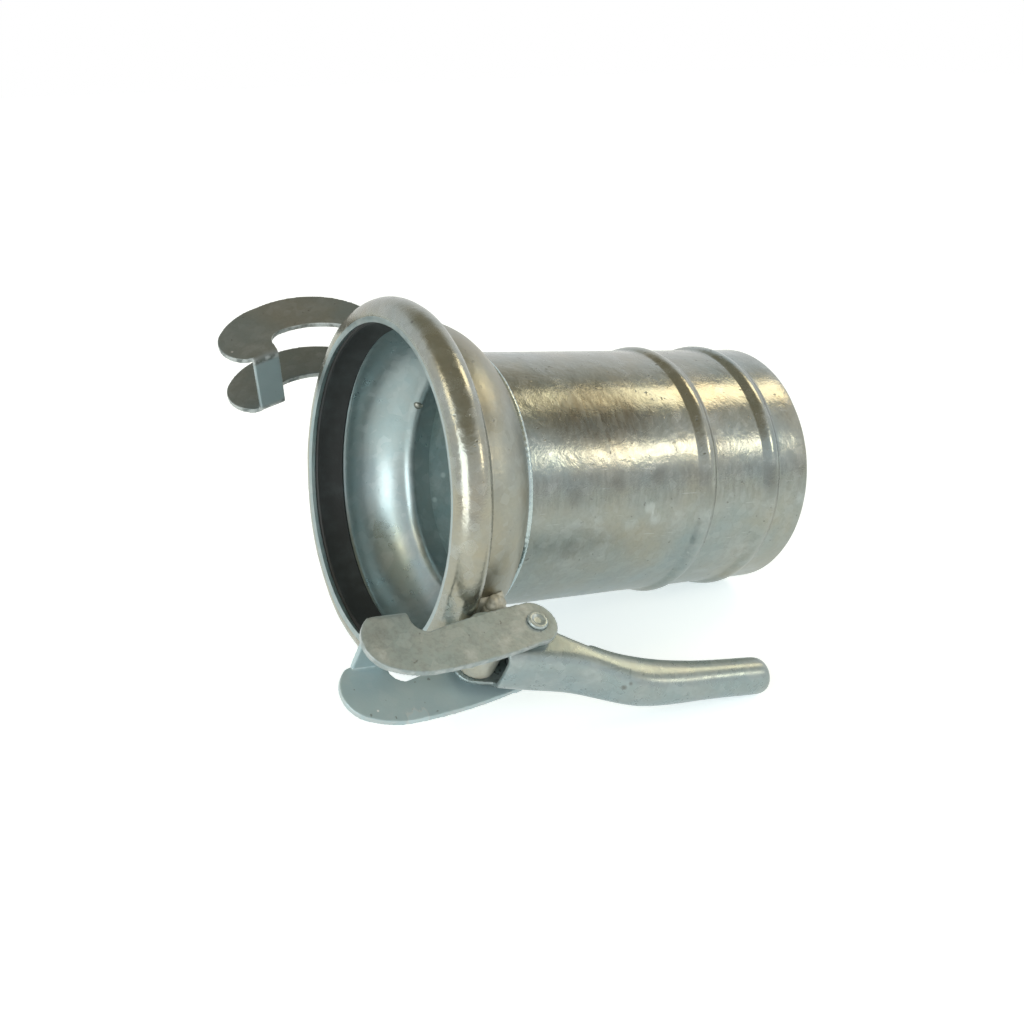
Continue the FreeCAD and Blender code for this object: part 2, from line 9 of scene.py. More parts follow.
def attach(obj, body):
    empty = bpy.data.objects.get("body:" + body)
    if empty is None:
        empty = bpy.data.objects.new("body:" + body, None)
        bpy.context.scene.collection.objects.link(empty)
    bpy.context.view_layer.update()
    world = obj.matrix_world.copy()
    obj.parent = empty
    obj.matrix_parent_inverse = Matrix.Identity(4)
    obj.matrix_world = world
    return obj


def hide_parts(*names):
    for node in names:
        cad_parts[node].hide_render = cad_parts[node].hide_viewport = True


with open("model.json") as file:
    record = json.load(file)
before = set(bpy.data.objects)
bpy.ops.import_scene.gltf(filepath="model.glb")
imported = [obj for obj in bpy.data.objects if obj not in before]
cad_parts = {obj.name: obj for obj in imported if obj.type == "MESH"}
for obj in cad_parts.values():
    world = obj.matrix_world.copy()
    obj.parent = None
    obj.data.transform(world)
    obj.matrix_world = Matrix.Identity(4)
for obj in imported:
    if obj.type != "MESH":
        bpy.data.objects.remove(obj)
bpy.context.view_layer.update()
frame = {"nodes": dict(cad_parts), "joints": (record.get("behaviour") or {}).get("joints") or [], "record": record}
nodes = frame["nodes"]
mm = 0.001

# The coupling lies tilted on the floor. Round pieces are made in the pipe's own frame, with
# the mouth's centre at the origin, X along the pipe towards the mouth and Y to the lever.
mounts = {mount["name"]: mount for mount in frame["record"]["mounts"]}
joints = {joint["name"]: joint for joint in frame["joints"]}
sealDepth = 4.4 * mm
mouthward = -Vector(mounts["hose_spigot"]["axis"]).normalized()
acrossWay = -Vector(joints["lever_pivot"]["axis"]).normalized()
leverward = acrossWay.cross(mouthward)
mouth = Vector(mounts["seal_seat"]["pos_m"]) + sealDepth * mouthward
lying = Matrix((mouthward, leverward, acrossWay)).transposed().to_4x4()
lying.translation = mouth


# Camera

camera = {
    "place": (0.365066, 0.599153, 0.362197),
    "turn": (70.6492, 0.6061, 151.4911),   # degrees about X, Y, Z
    "lens": 43.247,
    "shift": (0.0421, -0.0634),
}


def placeCamera():
    data = bpy.data.cameras.new("camera")
    data.sensor_width = 36
    data.lens = camera["lens"]
    data.shift_x, data.shift_y = camera["shift"]
    data.clip_start = 0.01
    item = bpy.data.objects.new("camera", data)
    item.location = camera["place"]
    item.rotation_euler = Euler([radians(angle) for angle in camera["turn"]])
    bpy.context.scene.collection.objects.link(item)
    bpy.context.scene.camera = item


placeCamera()
print("camera placed")


# Shader maths: one socket that can be added, scaled and banded like a number

class Link:
    def __init__(self, tree, socket):
        self.tree = tree
        self.socket = socket

    def add(self, kind, settings=None, inputs=None, out=0):
        node = self.tree.nodes.new("ShaderNode" + kind)
        for name, value in (settings or {}).items():
            if name == "stops":
                setStops(node.color_ramp, value)
            else:
                setattr(node, name, value)
        for name, value in (inputs or {}).items():
            plug(self.tree, node.inputs[name], value)
        return Link(self.tree, node.outputs[out])

    def maths(self, operation, *values):
        return self.add("Math", {"operation": operation}, dict(enumerate(values)))

    def __add__(self, other): return self.maths("ADD", self, other)
    def __radd__(self, other): return self.maths("ADD", other, self)
    def __sub__(self, other): return self.maths("SUBTRACT", self, other)
    def __rsub__(self, other): return self.maths("SUBTRACT", other, self)
    def __mul__(self, other): return self.maths("MULTIPLY", self, other)
    def __rmul__(self, other): return self.maths("MULTIPLY", other, self)

    # 0 below low, 1 above high, smooth between
    def band(self, low, high):
        settings = {"interpolation_type": "SMOOTHSTEP"}
        return self.add("MapRange", settings, {"Value": self, "From Min": low, "From Max": high})


def plug(tree, socket, value):
    if isinstance(value, Link):
        tree.links.new(value.socket, socket)
    elif socket.type == "RGBA":
        socket.default_value = (*value[:3], 1)
    else:
        socket.default_value = value


def setStops(ramp, stops):
    while len(ramp.elements) > 1:
        ramp.elements.remove(ramp.elements[-1])
    for k, (place, colour) in enumerate(stops):
        element = ramp.elements[0] if k == 0 else ramp.elements.new(place)
        element.position = place
        element.color = (*colour, 1)


# Colour a where the mask is 0 and b where it is 1
def blendColour(mask, a, b):
    settings = {"data_type": "RGBA", "blend_type": "MIX", "clamp_factor": True}
    return mask.add("Mix", settings, {0: mask, 6: a, 7: b}, out=2)


def newMaterial(name):
    made = bpy.data.materials.new(name)
    made.use_nodes = True
    tree = made.node_tree
    return made, tree, tree.nodes["Principled BSDF"]


# Object coordinates turned into the pipe's own frame, in metres
def pipePlace(tree):
    back = lying.inverted()
    start = Link(tree, None)
    here = start.add("TexCoord", out=3)
    turn = {"Vector": here, "Location": back.translation, "Rotation": back.to_euler()}
    return start.add("Mapping", {"vector_type": "POINT"}, turn)


def stretched(place, scale, turn=(0, 0, 0)):
    inputs = {"Vector": place, "Rotation": turn, "Scale": scale}
    return place.add("Mapping", {"vector_type": "POINT"}, inputs)


def noiseOf(place, scale, detail=3.0, roughness=0.5, distortion=0.0):
    inputs = {"Vector": place, "Scale": scale, "Detail": detail, "Roughness": roughness,
              "Distortion": distortion}
    return place.add("TexNoise", {"noise_dimensions": "3D"}, inputs)


def distanceTo(place, centre):
    inputs = {0: place, 1: [c * mm for c in centre]}
    return place.add("VectorMath", {"operation": "DISTANCE"}, inputs, out=1)


# One part of a place: 0 along the pipe, 1 to the lever, 2 across
def partOf(place, way):
    return place.add("SeparateXYZ", {}, {"Vector": place}, out=way)


# Zinc: clouds of blue and warm grey, crystals, drips, scratches, specks, and marks of its own, with painted light
# on some pieces: painted dark reflection on the tail, a painted highlight on the hooks' edges, painted light on
# their lower plates and bridges; the insides and the weld are lighter copies, as painted light

zinc = {
    "blue": (0.25, 0.32, 0.33),
    "grey": (0.30, 0.325, 0.31),
    "warm": (0.34, 0.325, 0.255),
    "dark": (0.12, 0.125, 0.115),
    "pale": (0.50, 0.55, 0.55),
    "brown": (0.10, 0.09, 0.065),
    "white": (0.75, 0.77, 0.77),
    # light blue zinc for the hooks' half-moon mark, also used as painted light on their lower plates and bridges
    "fresh_and_lit": (0.42, 0.55, 0.58),
}

# Sizes of the patterns, as noise scales, and the crystals' width in millimetres
pattern = {
    "cloud": 14, "patch": 48, "wave": 130, "dot": 260, "fine": 420, "spangle": 5.0,
    "drip": (330, 70, 70), "scratch": (70, 900, 900), "scratchTurn": (0.4, 0.5, 0.3),
    "bumpDistance": 0.0009,
}

# Brown drips on top of the tail over a painted dark reflection, and a belt of painted dark reflection along its
# flank, in millimetres
tailRunsAndReflection = {
    "centre": (-62, 24, 72), "squash": (0.55, 1, 1), "full": 10, "end": 30,
    "beltLow": (34, 46), "beltHigh": (53, 59), "beltFront": (20, 50),
}
litLowerPlateBand = (-12, 4)   # below this height across the pipe the hooks' lower plates get painted light, paler and bluer

# dull: way, start and end in millimetres, and how much rougher the skin is there
plain = {
    "level": 1.0, "metal": 0.85, "runs_and_reflection": 0.0, "scratches": 0.1, "specks": 0.6, "mottle": 0.25,
    "edges": 0.0, "fresh_and_lit": 0.0, "dull": None,
}
looks = {
    "cup_zinc": {**plain, "metal": 0.9, "warmth": 0.72, "rough": 0.24, "bumps": 0.9,
                 "mottle": 0.2, "specks": 0.3, "dull": (0, -16, -26, 0.16)},
    # painted light: the cup's inner wall is a lighter copy of the zinc
    "cup_inside_zinc": {**plain, "level": 1.25, "warmth": 0.0, "rough": 0.33, "bumps": 0.2,
                        "specks": 0.1, "mottle": 0.1},
    "tail_zinc": {**plain, "metal": 0.9, "warmth": 0.5, "rough": 0.22, "runs_and_reflection": 1.0,
                  "scratches": 0.35, "bumps": 0.8, "dull": (1, 54, 70, 0.16)},
    # painted light: the bore is a much lighter copy of the zinc
    "tail_inside_zinc": {**plain, "level": 1.7, "warmth": 0.0, "rough": 0.40, "bumps": 0.3,
                         "specks": 0.2},
    # painted highlight: the weld bead is a paler copy of the zinc
    "weld_zinc": {**plain, "level": 1.7, "warmth": 0.0, "rough": 0.25, "bumps": 0.4, "specks": 0.0},
    "lug_zinc": {**plain, "level": 1.6, "metal": 0.2, "warmth": 0.6, "rough": 0.45, "bumps": 0.7,
                 "mottle": 0.3},
    "lever_zinc": {**plain, "level": 1.12, "metal": 0.55, "warmth": 0.1, "rough": 0.30,
                   "bumps": 0.3, "scratches": 0.3, "specks": 0.15},
    "hook_zinc": {**plain, "level": 1.12, "metal": 0.35, "warmth": 0.2, "rough": 0.42,
                  "bumps": 0.6, "mottle": 0.5, "edges": 0.6, "fresh_and_lit": 0.9},
    "side_hook_zinc": {**plain, "level": 0.6, "metal": 0.5, "warmth": 0.4, "rough": 0.42,
                       "bumps": 0.5, "edges": 0.8},
    "pin_zinc": {**plain, "level": 1.35, "metal": 0.45, "warmth": -0.6, "rough": 0.26, "bumps": 0.4},
}

wideMark = 4   # marks that end further out than this, in millimetres, have streaky edges

# Marks: place, radius where it is full, radius where it ends, colour, strength
marks = {
    "cup_zinc": [((-2, -24, 101), 0.4, 1.3, "dark", 0.8), ((-1, -31, 99), 0.3, 0.9, "dark", 0.7)],
    "tail_zinc": [
        ((-90, 74, 17), 3.0, 9.0, "brown", 0.2), ((-141, 66, 38), 1.0, 5.0, "pale", 0.4),
        # the four dark marks at 46 to 52 mm across the pipe are painted dark reflection, in the belt below the
        # highlight
        ((-88, 60, 46), 1.0, 8.0, "dark", 0.5), ((-117, 57, 50), 1.0, 7.0, "dark", 0.45),
        ((-146, 55, 52), 1.0, 9.0, "dark", 0.45), ((-232, 60, 50), 2.0, 12.0, "dark", 0.4),
        ((-146, 69, 32), 1.0, 6.0, "pale", 0.3), ((-128, 70, 29), 1.0, 5.0, "pale", 0.2),
    ],
    "tail_inside_zinc": [
        ((-84, -52, -51), 0.8, 2.6, "pale", 0.8), ((-76, -40, -61), 0.8, 2.6, "pale", 0.8),
    ],
    "lever_zinc": [
        ((-85, 160, 6), 0.6, 2.2, "dark", 0.7), ((-88, 160, 9), 0.4, 1.5, "dark", 0.7),
        ((-82, 158, 11), 0.3, 1.2, "dark", 0.6), ((-99, 162, 8), 0.3, 1.0, "white", 0.8),
    ],
    "hook_zinc": [
        ((20.3, 143.5, -19), 6.4, 7.3, "pale", 0.75), ((20.3, 143.5, -19), 5.2, 6.2, "fresh_and_lit", 0.75),
        ((40.2, 134.4, -19), 0.4, 0.9, "white", 0.9),
        ((45, 119, 23), 1.0, 9.0, "dark", 0.22), ((37, 128, 23), 0.5, 5.0, "dark", 0.2),
    ],
    "side_hook_zinc": [((54.6, -112.4, 5), 0.4, 1.0, "white", 0.9)],
}

# Each hook's plates face along its own joint's axis, and their edge faces get a painted highlight
hookJoints = {"hook_zinc": "hook_pivot", "side_hook_zinc": "side_hook_pivot"}


# Two masks: the plates' edge faces, for a painted highlight, and the bridge between them, for painted light
def paintedPlateLight(place, joint):
    axis = Vector(joint["axis"]).normalized()
    start = lying.inverted() @ Vector(joint["pos_m"])
    across = lying.inverted().to_3x3() @ axis
    facing = place.add("TexCoord", out=1)
    flat = facing.add("VectorMath", {"operation": "DOT_PRODUCT"}, {0: facing, 1: axis}, out=1)
    height = place.add("VectorMath", {"operation": "DOT_PRODUCT"}, {0: place, 1: across}, out=1)
    height = height - start.dot(across)
    outer = height.maths("ABSOLUTE", height).band(16 * mm, 18.5 * mm)
    return (1 - flat.maths("ABSOLUTE", flat).band(0.35, 0.75)) * outer, 1 - outer


# Two masks: brown drips over a painted dark reflection, and a belt of painted dark reflection below the highlight
def tailRunsAndPaintedReflection(place, drips):
    reach = distanceTo(stretched(place, tailRunsAndReflection["squash"]), tailRunsAndReflection["centre"])
    brown = 1 - reach.band(tailRunsAndReflection["full"] * mm, tailRunsAndReflection["end"] * mm)
    brown = brown * (0.45 + 0.4 * drips.band(0.30, 0.70))
    lowStart, lowEnd, highStart, highEnd, frontStart, frontEnd = [
        edge * mm for key in ("beltLow", "beltHigh", "beltFront") for edge in tailRunsAndReflection[key]]
    flank = partOf(place, 2)
    belt = flank.band(lowStart, lowEnd) * (1 - flank.band(highStart, highEnd))
    belt = belt * partOf(place, 1).band(frontStart, frontEnd)
    return brown, belt * (0.3 + 0.5 * drips.band(0.35, 0.65)) * 0.55


def makeZinc(name, level, metal, warmth, rough, runs_and_reflection, scratches, specks, mottle, edges, fresh_and_lit,
             dull, bumps):
    made, tree, shader = newMaterial(name)
    tints = {key: [part * level for part in tint] for key, tint in zinc.items()}
    place = pipePlace(tree)
    cloud = noiseOf(place, pattern["cloud"], 4, 0.6)
    patches = noiseOf(place, pattern["patch"], 5, 0.62, 0.3)
    waves = noiseOf(place, pattern["wave"], 3, 0.5)
    fine = noiseOf(place, pattern["fine"], 3, 0.6)
    cells = {"Vector": place, "Scale": 1 / (pattern["spangle"] * mm)}
    crystal = place.add("TexVoronoi", {"feature": "F1"}, cells, out=1)
    grain = crystal.add("SeparateColor", {}, {"Color": crystal})
    drips = noiseOf(stretched(place, pattern["drip"]), 1.0, 5, 0.7)
    lines = noiseOf(stretched(place, pattern["scratch"], pattern["scratchTurn"]), 1.0, 2, 0.5)
    dots = noiseOf(place, pattern["dot"], 2, 0.5).band(0.70, 0.76)

    colour = blendColour((cloud * 1.4 - 0.7 + warmth).band(0.1, 0.9), tints["blue"], tints["warm"])
    colour = blendColour(patches.band(0.35, 0.65) * 0.4, colour, tints["grey"])
    colour = blendColour(patches.band(0.56, 0.72) * mottle, colour, tints["pale"])
    colour = blendColour((1 - fine.band(0.25, 0.62)) * mottle * 0.6, colour, tints["dark"])
    # painted light: the hooks' lower plates are paler and bluer than the upper ones
    if fresh_and_lit:
        upperSide = partOf(place, 2).band(litLowerPlateBand[0] * mm, litLowerPlateBand[1] * mm)
        colour = blendColour((1 - upperSide) * fresh_and_lit, colour, zinc["fresh_and_lit"])
    colour = blendColour(grain.band(0.5, 1.0) * 0.14, colour, tints["pale"])
    colour = blendColour(lines.band(0.68, 0.75) * scratches, colour, tints["pale"])
    colour = blendColour(dots * specks, colour, tints["dark"])
    roughness = rough + 0.14 * (patches - 0.5) + 0.08 * (grain - 0.5) + 0.10 * (fine - 0.5)
    # painted dark reflection on the tail: brown with drips on top, and dark in a belt along the flank
    if runs_and_reflection:
        brown, belt = tailRunsAndPaintedReflection(place, drips)
        colour = blendColour(brown * runs_and_reflection, colour, tints["brown"])
        roughness = roughness + 0.10 * brown * runs_and_reflection
        colour = blendColour(belt, colour, tints["dark"])
    if dull:
        way, start, end, amount = dull
        roughness = roughness + amount * partOf(place, way).band(start * mm, end * mm)
    # painted highlight in patches on the plates' edge faces, and painted light on the bridge
    if edges:
        lip, bridge = paintedPlateLight(place, joints[hookJoints[name]])
        colour = blendColour(lip * waves.band(0.40, 0.55) * edges, colour, zinc["pale"])
        colour = blendColour(bridge * 0.6, colour, zinc["fresh_and_lit"])
    for centre, full, end, tint, strength in marks.get(name, []):
        ragged = (drips - 0.5) * (2.2 * end * mm) if end > wideMark else (patches - 0.5) * (0.3 * end * mm)
        reach = distanceTo(place, centre) + ragged
        colour = blendColour((1 - reach.band(full * mm, end * mm)) * strength, colour, tints[tint])
    plug(tree, shader.inputs["Base Color"], colour)
    plug(tree, shader.inputs["Roughness"], roughness)
    plug(tree, shader.inputs["Metallic"], metal)

    height = patches * 0.6 + waves * 0.16 + fine * 0.08 - dots * 0.2
    relief = {"Strength": bumps, "Distance": pattern["bumpDistance"], "Height": height}
    bump = height.add("Bump", {}, relief)
    plug(tree, shader.inputs["Normal"], bump)
    return made


def makeRubber(name):
    made, tree, shader = newMaterial(name)
    place = pipePlace(tree)
    bloom = noiseOf(place, 60, 4, 0.6)
    fine = noiseOf(place, 700, 2)
    colour = blendColour(bloom.band(0.4, 0.75), (0.012, 0.015, 0.015), (0.026, 0.033, 0.034))
    plug(tree, shader.inputs["Base Color"], colour)
    plug(tree, shader.inputs["Roughness"], 0.55 + 0.2 * (bloom - 0.5))
    bump = fine.add("Bump", {}, {"Strength": 0.3, "Distance": 0.0002, "Height": fine})
    plug(tree, shader.inputs["Normal"], bump)
    return made


finishes = {name: makeZinc(name, **look) for name, look in looks.items()}
finishes["seal_rubber"] = makeRubber("seal_rubber")
print("finishes made")


# Shapes shared by the pieces

def arcPoints(centre, radius, start, end, steps):
    turns = [radians(start + (end - start) * k / steps) for k in range(steps + 1)]
    return [(centre[0] + radius * cos(a), centre[1] + radius * sin(a)) for a in turns]


# A closed outline of x and radius, in millimetres, spun round the pipe's axis
def spunRing(outline, steps):
    mesh = bmesh.new()
    corners = [mesh.verts.new((x * mm, r * mm, 0)) for x, r in outline]
    edges = [mesh.edges.new(pair) for pair in zip(corners, corners[1:] + corners[:1])]
    bmesh.ops.spin(mesh, geom=corners + edges, cent=(0, 0, 0), axis=(1, 0, 0), dvec=(0, 0, 0),
                   angle=2 * pi, steps=steps, use_merge=True)
    bmesh.ops.remove_doubles(mesh, verts=mesh.verts[:], dist=1e-7)
    bmesh.ops.recalc_face_normals(mesh, faces=mesh.faces[:])
    return mesh


# Moves the skin in and out a little, as pressing and dipping leave it
def uneven(mesh, amount, size, seed):
    mesh.normal_update()
    for vert in mesh.verts:
        at = vert.co / (size * mm) + Vector((seed, 0, 0))
        vert.co += vert.normal * amount * mm * noise.noise(at)


# The second material goes on the faces that look at the pipe's axis
def lineInside(mesh):
    mesh.normal_update()
    for face in mesh.faces:
        middle = face.calc_center_median()
        if face.normal.dot(Vector((0, middle.y, middle.z)).normalized()) < -0.02:
            face.material_index = 1


# Lays the mesh down with the coupling, smooths it and hangs it on its body
def finishPiece(mesh, name, body, slot, replaced=(), sharp=35, laid=True, inside=None, finish=None):
    if laid:
        bmesh.ops.transform(mesh, matrix=lying, verts=mesh.verts[:])
    for face in mesh.faces:
        face.smooth = True
    for edge in mesh.edges:
        if len(edge.link_faces) == 2 and edge.calc_face_angle(0) > radians(sharp):
            edge.smooth = False
    data = bpy.data.meshes.new(name)
    mesh.to_mesh(data)
    mesh.free()
    item = bpy.data.objects.new(name, data)
    bpy.context.scene.collection.objects.link(item)
    for worn in [finish or slot] + ([inside] if inside else []):
        data.materials.append(finishes[worn])
    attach(item, body)
    if replaced:
        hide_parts(*replaced)
    print(name, sum(len(polygon.vertices) - 2 for polygon in data.polygons), "triangles")


# Cup: one sheet from the rim's lip over the groove and shoulder into the neck

cup = {
    "rim": (-10.401, 97.0), "rimRadius": 11.0, "lip": -19.0, "rimEnd": 172.07,
    "groove": (-24.762, 99.0), "grooveRadius": 3.5,
    "shoulder": (-24.762, 58.269), "shoulderRadius": 37.231, "shoulderEnd": 152.31,
    "bend": (-62.153, 77.9), "bendRadius": 5.0,
    "neck": (-72.0, 72.9), "wall": 3.0,
    "steps": 224, "uneven": (0.28, 22, 3.1),   # amount and size in millimetres, and seed
}


def cupSkin(inset):
    return (
        arcPoints(cup["rim"], cup["rimRadius"] - inset, cup["lip"], cup["rimEnd"], 44)
        + arcPoints(cup["groove"], cup["grooveRadius"] + inset, cup["rimEnd"] - 180, -90, 10)[1:]
        + arcPoints(cup["shoulder"], cup["shoulderRadius"] - inset, 90, cup["shoulderEnd"], 22)[1:]
        + arcPoints(cup["bend"], cup["bendRadius"] + inset, cup["shoulderEnd"] - 180, -90, 8)[1:]
        + [(cup["neck"][0] + lead, cup["neck"][1] - inset) for lead in (3, 0)]
    )


cupMesh = spunRing(cupSkin(0) + cupSkin(cup["wall"])[::-1], cup["steps"])
lineInside(cupMesh)
uneven(cupMesh, *cup["uneven"])
finishPiece(cupMesh, "cup_pressed", "coupling", "cup_zinc", ["socket_cup"], inside="cup_inside_zinc")


# Tail: the tube with its two swaged beads and eased end

tail = {
    "front": -58.5, "end": -262.0, "radius": 76.0, "wall": 3.0, "endRound": 2.0,
    "beads": (-182.6, -232.1), "beadHeight": 2.4, "beadHalf": 7.5, "footRadius": 4.0,
    "steps": 224, "uneven": ((0.22, 30, 7.7), (0.10, 9, 1.3)),
}


def tailSkin(inset):
    bulge = (tail["beadHalf"] ** 2 + tail["beadHeight"] ** 2) / (2 * tail["beadHeight"])
    crown = bulge - tail["footRadius"]
    lean = degrees(asin(tail["beadHalf"] / bulge))
    footY = tail["radius"] + tail["footRadius"]
    flat = tail["radius"] - inset
    points = [(tail["front"] - 12 * k, flat) for k in range(10)]
    for x in tail["beads"]:
        foot = tail["footRadius"] + inset
        points += arcPoints((x + tail["beadHalf"], footY), foot, -90, -90 - lean, 5)
        top = (x, tail["radius"] + tail["beadHeight"] - crown)
        points += arcPoints(top, crown - inset, 90 - lean, 90 + lean, 12)[1:]
        points += arcPoints((x - tail["beadHalf"], footY), foot, -90 + lean, -90, 5)[1:]
        points += [(x - tail["beadHalf"] - gap, flat) for gap in (7, 14)]
    if inset:
        return points + [(tail["end"], flat)]
    corner = (tail["end"] + tail["endRound"], tail["radius"] - tail["endRound"])
    return points + arcPoints(corner, tail["endRound"], 90, 180, 5)


tailMesh = spunRing(tailSkin(0) + tailSkin(tail["wall"])[::-1], tail["steps"])
lineInside(tailMesh)
for dents in tail["uneven"]:
    uneven(tailMesh, *dents)
finishPiece(tailMesh, "tail_rolled", "coupling", "tail_zinc", ["hose_tail"], inside="tail_inside_zinc")


# Weld round the neck: a bead of small ripples

weld = {"x": -57.5, "r": 76.44, "radius": 2.2, "ripples": 140, "depth": 0.13, "steps": 560}

weldMesh = spunRing(arcPoints((weld["x"], weld["r"]), weld["radius"], 0, 337.5, 15), weld["steps"])
for vert in weldMesh.verts:
    turn = atan2(vert.co.z, vert.co.y)
    spine = Vector((weld["x"], weld["r"] * cos(turn), weld["r"] * sin(turn))) * mm
    wave = cos(weld["ripples"] * turn) * 0.5 + 0.9 * noise.noise(vert.co * 160)
    vert.co += (vert.co - spine).normalized() * weld["depth"] * mm * wave
finishPiece(weldMesh, "neck_weld_bead", "coupling", "weld_zinc", ["neck_weld"])


# Seal: the rubber that fills the rolled rim, its bore a little hollow

seal = {
    "radius": 7.8, "start": -12, "end": 186, "front": (-4.4, 93.0), "rear": (-20.6, 90.0),
    "boreLength": 15, "boreRise": 3, "boreSteps": 24, "hollow": 0.5, "steps": 200,
}

sealBore = []
for k in range(seal["boreSteps"] + 1):
    reach = seal["boreLength"] * k / seal["boreSteps"]
    rise = seal["boreRise"] * k / seal["boreSteps"]
    sealBore.append((seal["rear"][0] + 1 + reach,
                     seal["rear"][1] + rise + seal["hollow"] * sin(pi * k / seal["boreSteps"])))
sealMesh = spunRing(arcPoints(cup["rim"], seal["radius"], seal["start"], seal["end"], 34)
                    + [(seal["rear"][0] - 0.6, 92.4), (seal["rear"][0], 90.7)] + sealBore
                    + [(seal["front"][0], 94.0)], seal["steps"])
uneven(sealMesh, 0.10, 18, 5.2)
finishPiece(sealMesh, "seal_moulded", "coupling", "seal_rubber", ["seal_ring"])
print("cup, tail, weld and seal made")


# A drop of zinc that froze on the cup's inner wall

drop = {"place": (-58.3, -71.1, -5.4), "out": (0.5, 0.87, 0.06), "size": (2.0, 2.9, 2.6),
        "sag": 0.22}

dropMesh = bmesh.new()
bmesh.ops.create_icosphere(dropMesh, subdivisions=4, radius=mm)
for vert in dropMesh.verts:
    sag = 1 + drop["sag"] * vert.co.z / mm
    wide, deep, tall = drop["size"]
    vert.co = Vector((vert.co.x * sag * wide, vert.co.y * sag * deep, vert.co.z * tall))
facing = Vector((0, 0, 1)).cross(Vector(drop["out"])).normalized()
dropTurn = Matrix((Vector(drop["out"]).normalized(), facing, Vector((0, 0, 1)))).transposed().to_4x4()
dropTurn.translation = Vector(drop["place"]) * mm
bmesh.ops.transform(dropMesh, matrix=dropTurn, verts=dropMesh.verts[:])
finishPiece(dropMesh, "zinc_drop", "coupling", "cup_zinc")


# A lump of weld where the lever's lug meets the cup

lump = {"place": (-33, 99, 8.5), "size": (6.0, 5.5, 6.0), "dents": (0.14, 300), "grain": (0.02, 1100)}

lumpMesh = bmesh.new()
bmesh.ops.create_icosphere(lumpMesh, subdivisions=5, radius=mm)
for vert in lumpMesh.verts:
    vert.co = Vector([part * size for part, size in zip(vert.co, lump["size"])])
    swell = [amount * noise.noise(vert.co * size) for amount, size in (lump["dents"], lump["grain"])]
    vert.co *= 1 + sum(swell)
bmesh.ops.translate(lumpMesh, verts=lumpMesh.verts[:], vec=Vector(lump["place"]) * mm)
finishPiece(lumpMesh, "lug_weld_lump", "coupling", "lug_zinc")


# Pieces carried over from the CAD, with their edges softened by the zinc

dipped = {   # body, finish, size of the skin's grid in millimetres
    "lever_lug": ("coupling", "lug_zinc", 0.6),
    "lever_lug_weld": ("coupling", "lug_zinc", 0.4),
    "lever_pin": ("coupling", "pin_zinc", 0.35),
    "lever": ("lever", "lever_zinc", 0.62),
    "hook_pin": ("lever", "pin_zinc", 0.3),
    "hook_washer_upper": ("lever", "pin_zinc", 0.35),
    "hook_washer_lower": ("lever", "pin_zinc", 0.35),
    "closing_hook": ("closing_hook", "hook_zinc", 0.55),
    "side_lug": ("coupling", "lug_zinc", 0.6),
    "side_lug_weld": ("coupling", "lug_zinc", 0.4),
    "side_pin": ("side_hook", "pin_zinc", 0.3),
    "side_hook": ("side_hook", "hook_zinc", 0.55),
}
darker = {"side_hook": "side_hook_zinc"}   # wears this finish in its slot
grip = {"start": -34, "full": -66, "rounds": 70, "leverRounds": 10}

# Where each hook's plates run into its bridge: reach and length of the bridge, and its fold
roots = {
    "closing_hook": {"joint": "hook_pivot", "turn": (0, 0, 0), "half": 0,
                     "reach": 68.7, "length": 18.7, "drop": 17.9},
    "side_hook": {"joint": "side_hook_pivot", "turn": (4.7, 17.8, 9.3), "half": pi,
                  "reach": 63.2, "length": 16.5, "drop": -5.6},
}
plateSpan = (18.95, 22.45)
foldRadius = 4.5
filler = ((-1, 3), (-1, -2.6), (0.6, -2.6), (3.4, -2.2), (3.4, 3))   # from the fold's corner


# Closes the small step that the solid leaves beside each fold
def fillRoots(mesh, joint, turn, half, reach, length, drop):
    turn = Vector(turn)
    askew = Matrix.Rotation(radians(turn.length), 4, turn) if turn.length else Matrix.Identity(4)
    pivot = Matrix.Translation(lying.inverted() @ Vector(joints[joint]["pos_m"]))
    place = lying @ pivot @ askew @ Matrix.Rotation(half, 4, "X")
    front, fold = reach + length, foldRadius - drop
    outline = [((front + x) * mm, (fold + y) * mm) for x, y in filler]
    for side in (1, -1):
        start = mesh.faces.new([mesh.verts.new((x, y, side * plateSpan[0] * mm)) for x, y in outline])
        block = bmesh.ops.extrude_face_region(mesh, geom=[start], use_keep_orig=True)["geom"]
        raised = [item for item in block if isinstance(item, bmesh.types.BMVert)]
        bmesh.ops.translate(mesh, verts=raised, vec=(0, 0, side * (plateSpan[1] - plateSpan[0]) * mm))
        bmesh.ops.transform(mesh, matrix=place, verts=list(start.verts) + raised)
        faces = {face for vert in raised for face in vert.link_faces} | {start}
        bmesh.ops.recalc_face_normals(mesh, faces=list(faces))


def easeEdges(mesh, verts, rounds=1):
    for _ in range(rounds):
        bmesh.ops.smooth_vert(mesh, verts=verts, factor=0.5,
                              use_axis_x=True, use_axis_y=True, use_axis_z=True)


# The node's shape as an even skin, its sharp edges eased a little
def dippedCopy(node, voxel):
    data = nodes[node].data.copy()
    item = bpy.data.objects.new(node + "_skin", data)
    bpy.context.scene.collection.objects.link(item)
    welded = bmesh.new()
    welded.from_mesh(data)
    if node in roots:
        fillRoots(welded, **roots[node])
    bmesh.ops.remove_doubles(welded, verts=welded.verts[:], dist=1e-6)
    welded.to_mesh(data)
    welded.free()
    remesh = item.modifiers.new("skin", "REMESH")
    remesh.mode = "VOXEL"
    remesh.voxel_size = voxel * mm
    bpy.context.view_layer.update()
    shown = item.evaluated_get(bpy.context.evaluated_depsgraph_get())
    mesh = bmesh.new()
    mesh.from_mesh(shown.to_mesh())
    shown.to_mesh_clear()
    bpy.data.objects.remove(item)
    easeEdges(mesh, mesh.verts[:], rounds=2)
    return mesh


